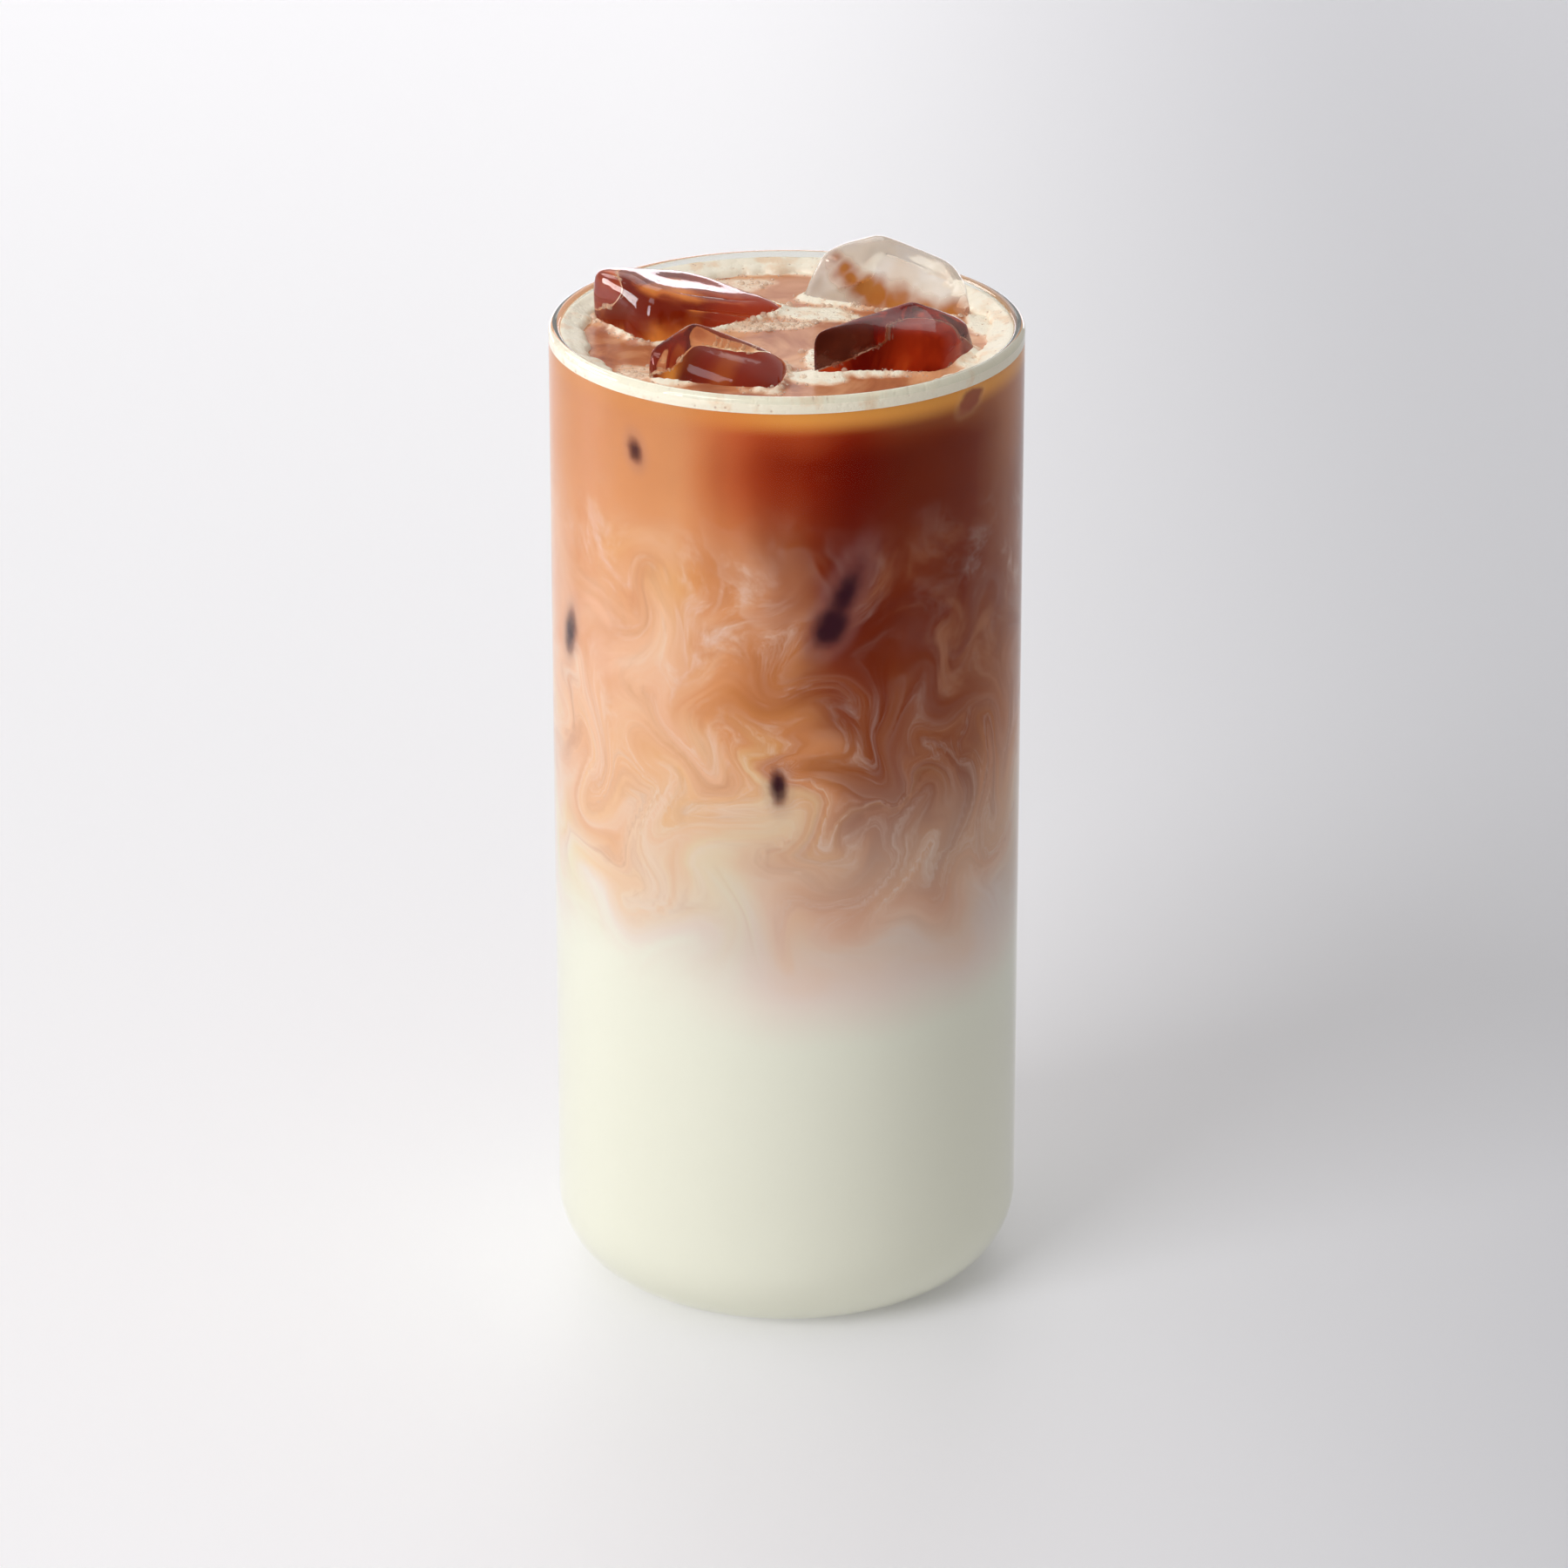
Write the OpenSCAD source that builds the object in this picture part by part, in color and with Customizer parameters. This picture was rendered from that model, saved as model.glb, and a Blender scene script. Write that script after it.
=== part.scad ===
// Iced latte in a tall straight glass: milk below, coffee above, a marbled band
// between them, a froth ring at the wall and four ice cubes standing out of the top.
// Millimetres. +Z is up, and the origin is the centre of the glass's foot.
// Azimuth 0 faces -Y.

/* [Glass] */
// Outer diameter of the glass
glass_d = 70; // [56:1:90]
// Height of the glass
glass_h = 150; // [120:1:190]
// Thickness of the wall
wall = 1.8; // [1.2:0.1:3]
// Thickness of the bottom
bottom_t = 2.5; // [1.5:0.1:6]
// Outer radius between the wall and the foot
foot_r = 11.8; // [6:0.1:16]

/* [Drink] */
// Distance from the lip down to the surface of the drink
level_drop = 2.5; // [1:0.1:20]
// Height of the milk above the foot
milk_top = 56; // [25:1:80]
// Height of the marbled band between the milk and the coffee
marbled_h = 20; // [8:1:35]

/* [Froth] */
// Width of the froth ring, from the wall inwards
froth_w = 3; // [1.8:0.1:4.5]
// Height that the froth ring climbs up the wall above the drink
froth_h = 1.4; // [0.6:0.1:2.2]

/* [Ice] */
// Height of the tallest cube above the drink
ice_rise = 9.5; // [5:0.5:14]
// Depth of the cubes' lower corners below the drink
ice_draught = 17; // [10:0.5:22]
// Radius of the melted corners
ice_melt = 3; // [2:0.1:4]
// Least space between the cubes and the wall
ice_gap = 0.6; // [0.3:0.1:1.5]

/* [Hidden] */
$fn = 96;
ice_fn = 24;
outer_r = glass_d / 2;
bore_r = outer_r - wall;
bore_foot_r = foot_r - wall;
lip_r = wall / 2;
drink_top = glass_h - level_drop;
marbled_top = milk_top + marbled_h;
// Everything below is a share: across, of ice_reach; above the drink, of ice_rise;
// below the drink, of ice_draught. Each cube has four upper and four lower corners.
ice_reach = bore_r - ice_gap;
usual_melt = 3;
left_cube = [
    [-0.56, -0.06, 0.88], [-0.88, 0.26, 0.93], [-0.44, 0.62, 0.40], [-0.02, 0.36, 0.08],
    [-0.62, -0.10, -0.85], [-0.90, 0.26, -0.80], [-0.52, 0.72, -1], [-0.08, 0.38, -0.95]
];
back_cube = [
    [0.21, 0.46, 0.94], [0.43, 0.68, 1], [0.76, 0.56, 0.62], [0.80, 0.24, 0.12],
    [0.04, 0.62, -0.80], [0.36, 0.90, -0.90], [0.86, 0.42, -1], [0.46, 0.18, -0.95]
];
front_cube = [
    [-0.59, -0.54, 0.50], [-0.46, -0.42, 0.68], [-0.10, -0.42, 0.20], [-0.12, -0.72, 0.06],
    [-0.64, -0.62, -0.85], [-0.44, -0.34, -0.80], [0.00, -0.36, -0.95], [-0.08, -0.82, -1]
];
right_cube = [
    [0.24, -0.42, 0.50], [0.56, -0.14, 0.76], [0.82, -0.16, 0.46], [0.66, -0.42, 0.52],
    [0.26, -0.74, -0.85], [0.52, -0.04, -0.90], [0.92, -0.24, -1], [0.62, -0.72, -0.95]
];

// Solid of revolution with a round edge at its foot: the glass's outside and its bore.
module round_foot_rod(r, edge_r, low, high) {
    rotate_extrude() {
        translate([0, low]) square([r - edge_r, edge_r]);
        translate([0, low + edge_r]) square([r, high - low - edge_r]);
        intersection() {
            translate([r - edge_r, low + edge_r]) circle(edge_r);
            square([r + edge_r, high]);
        }
    }
}

// The bore's space between two heights.
module bore_slice(low, high) {
    intersection() {
        round_foot_rod(bore_r, bore_foot_r, bottom_t, glass_h);
        translate([0, 0, low]) cylinder(r = outer_r, h = high - low);
    }
}

module glass() {
    color([0.86, 0.92, 0.9, 0.35]) difference() {
        union() {
            round_foot_rod(outer_r, foot_r, 0, glass_h - lip_r);
            translate([0, 0, glass_h - lip_r]) rotate_extrude()
                translate([outer_r - lip_r, 0]) circle(lip_r);
        }
        round_foot_rod(bore_r, bore_foot_r, bottom_t, glass_h + lip_r);
    }
}

// One cube: a hull over its eight melted corners. Rounder corners lie nearer to the
// cube's middle, so that its faces stay where they are.
module ice_cube(corners) {
    one = [for (c = corners) 1];
    middle = [corners * [1, 0, 0] * one, corners * [0, 1, 0] * one] / len(corners);
    color([0.55, 0.3, 0.16, 0.7]) hull() for (c = corners) {
        inward = middle - [c[0], c[1]];
        place = [c[0], c[1]] * (ice_reach - usual_melt)
            + inward / norm(inward) * (ice_melt - usual_melt) * sqrt(2);
        rise = c[2] > 0 ? c[2] * ice_rise - ice_melt : c[2] * ice_draught;
        translate([place[0], place[1], drink_top + rise]) sphere(ice_melt, $fn = ice_fn);
    }
}

module ice_left() { ice_cube(left_cube); }
module ice_back() { ice_cube(back_cube); }
module ice_front() { ice_cube(front_cube); }
module ice_right() { ice_cube(right_cube); }

module all_ice() {
    ice_left();
    ice_back();
    ice_front();
    ice_right();
}

module milk() {
    color([0.91, 0.91, 0.84]) bore_slice(bottom_t, milk_top);
}

module marbled() {
    color([0.86, 0.74, 0.62]) bore_slice(milk_top, marbled_top);
}

module coffee() {
    color([0.74, 0.46, 0.29]) difference() {
        bore_slice(marbled_top, drink_top);
        all_ice();
    }
}

// Froth ring: flat below, highest at the wall, with a low blunt inner edge.
module froth() {
    color([0.96, 0.93, 0.87]) difference() {
        translate([0, 0, drink_top]) rotate_extrude() polygon([
            [bore_r - froth_w, 0],
            [bore_r, 0],
            [bore_r, froth_h],
            [bore_r - froth_w * 0.45, froth_h * 0.45],
            [bore_r - froth_w, froth_h * 0.2]
        ]);
        all_ice();
    }
}

glass();
milk();
marbled();
coffee();
froth();
ice_left();
ice_back();
ice_front();
ice_right();
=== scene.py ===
# %% [markdown]
# # Iced latte in a tall straight glass
# The drink is a stack: pale milk at the bottom, a marbled band, and coffee above, all in a
# clear glass with a froth line and four ice cubes. The CAD model gives every size and place.
# Each visible piece is modelled again here with more detail, and rides on the one CAD body.

# %% Load the frame
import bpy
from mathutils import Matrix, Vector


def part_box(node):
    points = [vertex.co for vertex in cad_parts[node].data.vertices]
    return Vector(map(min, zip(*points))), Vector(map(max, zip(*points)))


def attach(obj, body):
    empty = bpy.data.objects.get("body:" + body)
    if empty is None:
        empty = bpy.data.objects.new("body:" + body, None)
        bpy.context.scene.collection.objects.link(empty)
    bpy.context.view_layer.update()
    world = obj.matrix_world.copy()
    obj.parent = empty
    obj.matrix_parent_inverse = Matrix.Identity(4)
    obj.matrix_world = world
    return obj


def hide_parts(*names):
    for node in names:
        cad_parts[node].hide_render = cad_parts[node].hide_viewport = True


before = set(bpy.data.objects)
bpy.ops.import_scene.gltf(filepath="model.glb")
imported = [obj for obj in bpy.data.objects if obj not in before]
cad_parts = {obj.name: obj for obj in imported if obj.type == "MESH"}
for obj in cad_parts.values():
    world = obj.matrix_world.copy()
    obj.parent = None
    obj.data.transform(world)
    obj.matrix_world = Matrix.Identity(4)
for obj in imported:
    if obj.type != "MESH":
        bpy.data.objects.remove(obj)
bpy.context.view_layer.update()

import bpy
import bmesh
import math
import numpy as np
from mathutils import Vector, noise
from mathutils.bvhtree import BVHTree

MM = 0.001

# %% [markdown]
# ## Sizes from the frame
# The glass, the layers and the level of the drink are read from the CAD nodes' boxes, so the
# pieces below fit without any number being typed twice. The drink is a hair wider than the
# bore: a liquid wets its glass, and a gap of air between them would show as a silver film.

# %% Sizes
glass_low, glass_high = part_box("glass")
coffee_low, coffee_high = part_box("coffee")
OUTER_R = (glass_high[0] - glass_low[0]) / 2
GLASS_H = glass_high[2]
BORE_R = (coffee_high[0] - coffee_low[0]) / 2
WALL = OUTER_R - BORE_R
BOTTOM_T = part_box("milk")[0][2]
LEVEL = coffee_high[2]
FOOT_R = 11.8 * MM  # the outer rounding between the wall and the foot
WETTING = 0.25 * MM  # how far the drink reaches into the glass
WET_R = BORE_R + WETTING
HAIR = 0.01 * MM  # slack when a point is picked by its place
print(f"glass {2e3 * OUTER_R:.1f} x {1e3 * GLASS_H:.1f} mm, wall {1e3 * WALL:.2f} mm, "
      f"level {1e3 * LEVEL:.1f} mm")

# %% [markdown]
# ## Camera
# A long lens from well back, looking down by 22 degrees. It keeps the glass's sides almost
# parallel, and shows the ice from just above the lip.

# %% Camera
LENS_MM, SENSOR_MM = 165.5, 36
CAMERA_PLACE = (-0.0004, -1.0059, 0.4838)
CAMERA_TILT = math.radians(67.97)  # from straight down
camera_data = bpy.data.cameras.new("camera")
camera_data.lens = LENS_MM
camera_data.sensor_width = SENSOR_MM
camera_data.clip_start = 0.01
camera = bpy.data.objects.new("camera", camera_data)
camera.location = CAMERA_PLACE
camera.rotation_euler = (CAMERA_TILT, 0, 0)
bpy.context.scene.collection.objects.link(camera)
bpy.context.scene.camera = camera
print("camera", tuple(camera.location))

# %% [markdown]
# ## Small helpers
# Modelling by hand in code means selecting by place instead of by mouse. These helpers start
# and end an edit, and pick faces, edges or vertices with a test on where they are. Others
# make a cylinder to start from, apply a modifier, and copy a piece.

# %% Editing helpers
def only(piece):
    """Selects one object alone and makes it active."""
    bpy.ops.object.select_all(action="DESELECT")
    piece.select_set(True)
    bpy.context.view_layer.objects.active = piece


def begin_edit(piece, mode="VERT"):
    """Enters edit mode with nothing selected, and returns the mesh that is edited."""
    only(piece)
    bpy.ops.object.mode_set(mode="EDIT")
    bpy.ops.mesh.select_mode(type=mode)
    bpy.ops.mesh.select_all(action="DESELECT")
    return bmesh.from_edit_mesh(piece.data)


def pick(piece, mesh, elements, test):
    """Selects the elements whose test is true, and returns how many there are."""
    bpy.ops.mesh.select_all(action="DESELECT")
    count = 0
    for element in elements:
        if test(element):
            element.select_set(True)
            count += 1
    mesh.select_flush_mode()
    bmesh.update_edit_mesh(piece.data)
    return count


def end_edit():
    bpy.ops.object.mode_set(mode="OBJECT")


# %% Helpers that make and finish pieces
def new_cylinder(name, sides, radius, low, high, middle=None, **settings):
    """A named cylinder primitive between two heights, with its place moved into its mesh."""
    bpy.ops.object.select_all(action="DESELECT")
    middle = (low + high) / 2 if middle is None else middle
    bpy.ops.mesh.primitive_cylinder_add(vertices=sides, radius=radius, depth=high - low,
                                        location=(0, 0, middle), **settings)
    piece = bpy.context.object
    piece.name = name
    piece.data.name = name
    bpy.ops.object.transform_apply(location=True, rotation=True, scale=True)
    return piece


def smooth_shaded(piece):
    only(piece)
    bpy.ops.object.shade_smooth()


def from_axis(vertex):
    """How far a vertex is from the glass's axis."""
    return math.hypot(vertex.co.x, vertex.co.y)


def ring_edge(height, radius, slack=0.02 * MM):
    """A test for the edges of a ring at that height and radius."""
    def test(edge):
        return all(abs(v.co.z - height) < slack and abs(from_axis(v) - radius) < slack
                   for v in edge.verts)
    return test


def apply_modifier(piece, kind, **settings):
    only(piece)
    modifier = piece.modifiers.new(kind.lower(), kind)
    for key, value in settings.items():
        setattr(modifier, key, value)
    bpy.ops.object.modifier_apply(modifier=modifier.name)


def copy_of(piece, name):
    """A copy with a mesh of its own."""
    twin = piece.copy()
    twin.data = piece.data.copy()
    twin.name = name
    twin.data.name = name
    bpy.context.scene.collection.objects.link(twin)
    return twin


# %% [markdown]
# ## The glass
# A straight latte glass is one blown or pressed wall of even thickness with a rounded foot
# and a fire-polished lip. It could be a spun profile, but a cylinder shows the same steps a
# glassmaker's drawing has: round the foot, sink the bore, round its floor, round the lip.

# %% Model the glass
LIP_ROUNDING = 0.48  # share of the wall's thickness


def model_glass():
    glass = new_cylinder("tumbler", 256, OUTER_R, 0, GLASS_H)
    mesh = begin_edit(glass, "EDGE")
    pick(glass, mesh, mesh.edges, ring_edge(0, OUTER_R))
    bpy.ops.mesh.bevel(offset=FOOT_R, segments=16, profile=0.5, affect="EDGES")
    mesh = bmesh.from_edit_mesh(glass.data)
    bpy.ops.mesh.select_mode(type="FACE")
    pick(glass, mesh, mesh.faces,
         lambda f: f.normal.z > 0.9 and f.calc_center_median().z > GLASS_H - MM)
    bpy.ops.mesh.inset(thickness=WALL, use_even_offset=True)
    down_the_bore = (0, 0, BOTTOM_T - GLASS_H)
    bpy.ops.mesh.extrude_region_move(TRANSFORM_OT_translate={"value": down_the_bore})
    mesh = bmesh.from_edit_mesh(glass.data)
    bpy.ops.mesh.select_mode(type="EDGE")
    bore_r = max(from_axis(v) for v in mesh.verts if abs(v.co.z - BOTTOM_T) < HAIR)
    pick(glass, mesh, mesh.edges, ring_edge(BOTTOM_T, bore_r, 0.05 * MM))
    bpy.ops.mesh.bevel(offset=FOOT_R - WALL, segments=14, profile=0.5, affect="EDGES")
    mesh = bmesh.from_edit_mesh(glass.data)

    def at_lip(edge):
        """The outer and the inner ring at the lip."""
        flat = all(abs(v.co.z - GLASS_H) < HAIR for v in edge.verts)
        radii = [from_axis(v) for v in edge.verts]
        return flat and abs(radii[0] - radii[1]) < 0.05 * MM
    rings = pick(glass, mesh, mesh.edges, at_lip)
    bpy.ops.mesh.bevel(offset=WALL * LIP_ROUNDING, segments=7, profile=0.5, affect="EDGES")
    end_edit()
    smooth_shaded(glass)
    print(f"tumbler: {len(glass.data.polygons)} faces, {rings} lip edges, "
          f"bore radius {1e3 * bore_r:.2f} mm")
    return glass


glass = model_glass()

# %% [markdown]
# ## The ice
# Each cube left its tray square and has melted since: corners round, faces dished, edges
# soft. A cube primitive is pushed into its own eight corners, its edges are bevelled, and
# three levels of subdivision and a slow ripple turn it into wet ice. The corners are shares
# of the bore across, and millimetres above and below the drink.

# %% Corners of the cubes
ICE_REACH = BORE_R - 0.6 * MM
ICE_CORNERS = {  # four upper corners, then the four under them
    "ice_left": [(-0.58, -0.16, 9.3), (-0.94, 0.24, 9.8), (-0.46, 0.70, 4.4), (0.10, 0.40, 0.2),
                 (-0.62, -0.22, -14), (-0.92, 0.30, -14), (-0.54, 0.76, -17), (-0.04, 0.40, -16)],
    "ice_back": [(0.12, 0.46, 9.2), (0.42, 0.74, 10.4), (0.80, 0.60, 6.4), (0.92, 0.22, 1.4),
                 (-0.13, 0.68, -13), (0.34, 0.94, -15), (0.92, 0.42, -17), (0.44, 0.14, -16)],
    "ice_front": [(-0.66, -0.60, 5.6), (-0.42, -0.38, 8.9), (0.03, -0.42, 2.2),
                  (-0.02, -0.80, 0.8), (-0.68, -0.67, -14), (-0.42, -0.30, -14),
                  (0.06, -0.34, -16), (-0.02, -0.88, -17)],
    "ice_right": [(0.06, -0.42, 6.0), (0.56, -0.10, 9.0), (0.86, -0.12, 4.6), (0.70, -0.46, 5.8),
                  (0.14, -0.90, -14), (0.52, 0.00, -15), (0.95, -0.24, -17), (0.64, -0.76, -16)],
}
CUBE_SIGNS = [(-1, -1), (-1, 1), (1, 1), (1, -1)]
MELT = {"ice_left": 4.2, "ice_back": 3.2, "ice_front": 2.8, "ice_right": 2.6}  # rounding in mm
BIG_FACE = 60e-6  # square metres: a cube's own face, and not a bevel's
print("cubes:", list(ICE_CORNERS), "melted by", list(MELT.values()), "mm")

# %% Model the ice


def model_ice(name, corners, seed):
    """One melted cube, from a cube primitive and its eight corners."""
    bpy.ops.object.select_all(action="DESELECT")
    bpy.ops.mesh.primitive_cube_add(size=2)
    cube = bpy.context.object
    cube.name = name + "_cube"
    cube.data.name = cube.name
    mesh = begin_edit(cube)
    for index, (across, along, height) in enumerate(corners):
        sign_x, sign_y = CUBE_SIGNS[index % 4]
        sign_z = 1 if index < 4 else -1
        home = Vector((sign_x, sign_y, sign_z))
        pick(cube, mesh, mesh.verts, lambda v: (v.co - home).length < 0.01)
        goal = Vector((across * ICE_REACH, along * ICE_REACH, LEVEL + height * MM))
        bpy.ops.transform.translate(value=goal - home)
    bpy.ops.mesh.select_all(action="SELECT")
    bpy.ops.mesh.bevel(offset=MELT[name] * MM, segments=2, profile=0.6, affect="EDGES")
    bpy.ops.mesh.select_mode(type="FACE")
    mesh = bmesh.from_edit_mesh(cube.data)
    pick(cube, mesh, mesh.faces, lambda f: f.calc_area() > BIG_FACE)
    bpy.ops.mesh.inset(thickness=2.5 * MM, depth=-0.5 * MM, use_individual=True)
    end_edit()
    apply_modifier(cube, "SUBSURF", levels=3, render_levels=3)
    ripple(cube, seed)
    smooth_shaded(cube)
    print(f"{cube.name}: {len(cube.data.polygons)} faces")
    return cube


def ripple(piece, seed):
    """Melts slow dimples into a piece with a Displace modifier and a cloud texture."""
    clouds = bpy.data.textures.new(f"melt_{seed}", "CLOUDS")
    clouds.noise_scale = 0.012
    clouds.noise_depth = 1
    holder = bpy.data.objects.new(f"melt_place_{seed}", None)
    holder.location = (0.1 * seed, 0.07 * seed, 0)
    bpy.context.scene.collection.objects.link(holder)
    bpy.context.view_layer.update()
    apply_modifier(piece, "DISPLACE", texture=clouds, texture_coords="OBJECT",
                   texture_coords_object=holder, strength=1.1 * MM, mid_level=0.5)
    bpy.data.objects.remove(holder)


ice = [model_ice(name, corners, seed) for seed, (name, corners) in enumerate(ICE_CORNERS.items())]

# %% [markdown]
# ## The drink
# One body fills the glass from its floor to the level, because milk and coffee run into each
# other with no border. It is a cylinder whose foot is rounded like the bore, cut finely so
# that it can carry the swirls, and the cubes' pockets are taken out of its top.

# %% Model the drink
ROUND_STEPS = 320
WALL_STEPS = 190
TOP_RINGS, RING_STEP = 62, 0.52 * MM


def model_drink():
    low = BOTTOM_T - WETTING
    drink = new_cylinder("latte", ROUND_STEPS, WET_R, low, LEVEL)
    mesh = begin_edit(drink, "EDGE")
    pick(drink, mesh, mesh.edges, ring_edge(low, WET_R))
    bpy.ops.mesh.bevel(offset=FOOT_R - WALL + WETTING, segments=14, profile=0.5, affect="EDGES")
    mesh = bmesh.from_edit_mesh(drink.data)

    def upright(edge):
        return abs(edge.verts[0].co.z - edge.verts[1].co.z) > 20 * MM
    pick(drink, mesh, mesh.edges, upright)
    bpy.ops.mesh.subdivide(number_cuts=WALL_STEPS)
    bpy.ops.mesh.select_mode(type="FACE")
    mesh = bmesh.from_edit_mesh(drink.data)
    pick(drink, mesh, mesh.faces,
         lambda f: f.calc_center_median().z > LEVEL - HAIR and f.normal.z > 0.9)
    for ring in range(TOP_RINGS):
        bpy.ops.mesh.inset(thickness=RING_STEP, use_even_offset=True)
    end_edit()
    print(f"latte: {len(drink.data.polygons)} faces")
    return drink


drink = model_drink()

# %% Cut the cubes' pockets
POCKET_SLACK = 0.2 * MM


def cut_pockets(drink, ice):
    """Takes the cubes, a little slimmer, out of the drink, so that it reaches into them."""
    slots = ["latte_wall", "latte_top"] + ["pocket_" + name[4:] for name in ICE_CORNERS]
    for name in slots:
        drink.data.materials.append(bpy.data.materials.new(name))
    for index, cube in enumerate(ice):
        cutter = copy_of(cube, cube.name + "_cutter")
        begin_edit(cutter)
        bpy.ops.mesh.select_all(action="SELECT")
        bpy.ops.transform.shrink_fatten(value=-POCKET_SLACK)
        end_edit()
        cutter.data.materials.clear()
        cutter.data.materials.append(drink.data.materials[2 + index])
        apply_modifier(drink, "BOOLEAN", operation="DIFFERENCE", object=cutter,
                       solver="MANIFOLD", material_mode="TRANSFER")
        bpy.data.objects.remove(cutter)
    for face in drink.data.polygons:
        if face.material_index < 2:
            on_top = face.center.z > LEVEL - 0.05 * MM and abs(face.normal.z) > 0.9
            face.material_index = 1 if on_top else 0
    indices = [face.material_index for face in drink.data.polygons]
    print("latte faces:", {name: indices.count(i) for i, name in enumerate(slots)})


cut_pockets(drink, ice)

# %% [markdown]
# ## Foam on top
# Milk froth gathers where something holds it: at the wall, round each cube and in the still
# water between them. A number from 0 to 1 on each point of the surface says how much froth
# lies there, and froth stands up by half a millimetre. The drink also climbs each cube a
# little, as water does on ice.

# %% Numbers on a mesh's points
def smooth(x, low, high):
    """0 at low, 1 at high, and a soft step between."""
    t = np.clip((x - low) / (high - low), 0, 1)
    return t * t * (3 - 2 * t)


def points_of(mesh):
    place = np.zeros(len(mesh.vertices) * 3, np.float32)
    mesh.vertices.foreach_get("co", place)
    return place.reshape(-1, 3).astype(float)


def write_attribute(mesh, name, kind, values):
    layer = mesh.attributes.new(name, kind, "POINT")
    field = "vector" if kind == "FLOAT_VECTOR" else "value"
    layer.data.foreach_set(field, np.ascontiguousarray(values, np.float32).ravel())


def move_points(mesh, place):
    mesh.vertices.foreach_set("co", place.astype(np.float32).ravel())
    mesh.update()


def turn_of(place):
    """Angle round the glass, 0 at the front and growing to the right."""
    return np.arctan2(place[:, 0], -place[:, 1])


def cloudy(place, size, seed):
    """Slow noise from -1 to 1 at each point, with features of that size."""
    start = Vector((seed, 3.7 * seed, 0))
    return np.array([noise.noise(Vector(p) / size + start) for p in place])


def tree_of(pieces):
    """One search tree over several meshes."""
    points, faces = [], []
    for piece in pieces:
        start = len(points)
        points += [v.co.copy() for v in piece.data.vertices]
        faces += [[start + i for i in polygon.vertices] for polygon in piece.data.polygons]
    return BVHTree.FromPolygons(points, faces)


print("a soft step from 0 to 1:", smooth(np.linspace(0, 1, 5), 0, 1))

# %% Patches and sizes of the foam
FOAM_PATCHES = [  # in mm: centre x, y; half width along and across; turn in degrees; strength
    (3.5, 11.0, 8.0, 4.5, -10, 1.0),
    (-3.0, 5.0, 10.0, 2.2, 12, 0.62),
    (5.0, -9.5, 3.0, 6.0, 8, 1.0),
    (4.5, -18.5, 5.0, 4.0, 0, 1.0),
    (27.5, -11.0, 4.5, 5.5, 20, 0.9),
    (-9.0, 24.0, 9.0, 4.0, 15, 0.6),
    (-21.5, -16.0, 3.5, 6.0, 40, 0.55),
    (29.0, 5.5, 3.0, 7.0, 0, 0.9),
]
CLIMB, CLIMB_REACH = 0.75 * MM, 0.7 * MM
FOAM_RISE = 0.18 * MM
print("froth patches:", len(FOAM_PATCHES))

# %% Where froth lies
def foam_at_wall(spots, slow):
    """Froth along the wall: wide at the back and the right, narrow at the front."""
    turn = turn_of(spots)
    reach = (2.7 - 1.3 * np.cos(turn) + 0.9 * np.sin(turn) + 0.4 * np.sin(3 * turn + 0.6)
             + 1.1 * slow) * MM
    to_wall = BORE_R - np.hypot(spots[:, 0], spots[:, 1])
    return 1 - smooth(to_wall, reach - 1.2 * MM, reach + 1.6 * MM)


def foam_at_ice(to_ice, slow, fast):
    """Froth that clings to the cubes here and there."""
    near = 1 - smooth(to_ice, 0.2 * MM, (1.5 + 1.3 * slow) * MM + 0.3 * MM)
    return near * np.clip(0.5 + 0.9 * slow + 0.5 * fast, 0, 1)


def foam_in_patches(spots, slow, fast):
    foam = np.zeros(len(spots))
    for x, y, long, short, turned, strength in FOAM_PATCHES:
        c, s = math.cos(math.radians(turned)), math.sin(math.radians(turned))
        dx, dy = spots[:, 0] - x * MM, spots[:, 1] - y * MM
        out = np.hypot((dx * c + dy * s) / (long * MM), (dy * c - dx * s) / (short * MM))
        out = out + 0.25 * slow + 0.2 * fast
        foam = np.maximum(foam, strength * (1 - smooth(out, 0.55, 1.1)))
    return foam


# %% Foam and meniscus
def add_foam(drink, ice):
    mesh = drink.data
    place = points_of(mesh)
    top = place[:, 2] > LEVEL - 0.02 * MM
    spots = place[top]
    tree = tree_of(ice)
    to_ice = np.array([tree.find_nearest(Vector(p))[3] for p in spots])
    slow = cloudy(spots, 6 * MM, 1)
    fast = cloudy(spots, 1.6 * MM, 2)
    foam = np.maximum(foam_at_wall(spots, slow), foam_at_ice(to_ice, slow, fast))
    foam = np.maximum(foam, foam_in_patches(spots, slow, fast))
    foam = np.clip(foam + 0.12 * fast, 0, 1)
    climb = CLIMB * np.exp(-to_ice / CLIMB_REACH)
    place[top, 2] += climb + FOAM_RISE * smooth(foam, 0.3, 0.9) * (1 + 0.3 * fast)
    move_points(mesh, place)
    values = np.zeros(len(place))
    values[top] = foam
    write_attribute(mesh, "foam", "FLOAT", values)
    only(drink)
    bpy.ops.object.shade_smooth_by_angle(angle=math.radians(40))
    print(f"foam on {top.sum()} points, mean {foam.mean():.2f}, "
          f"climb up to {1e3 * climb.max():.2f} mm")


add_foam(drink, ice)

# %% [markdown]
# The froth ring proper is a wedge against the wall. It starts as an open ring, and its upper
# edge is extruded, drawn in and lowered step by step, as a profile is drawn by hand. A real
# froth line is never even, so its height and width then vary slowly round the glass.

# %% Froth ring
RING_STEPS = [(0.0, 1.25), (0.25, 0.22), (0.45, -0.1), (0.6, -0.32),  # inwards, upwards in mm
              (0.7, -0.22), (0.8, -0.2), (0.5, -0.35), (0.2, -0.8)]
FROTH_R = WET_R + 0.06 * MM
FROTH_TOP = GLASS_H - 0.75 * MM


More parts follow.
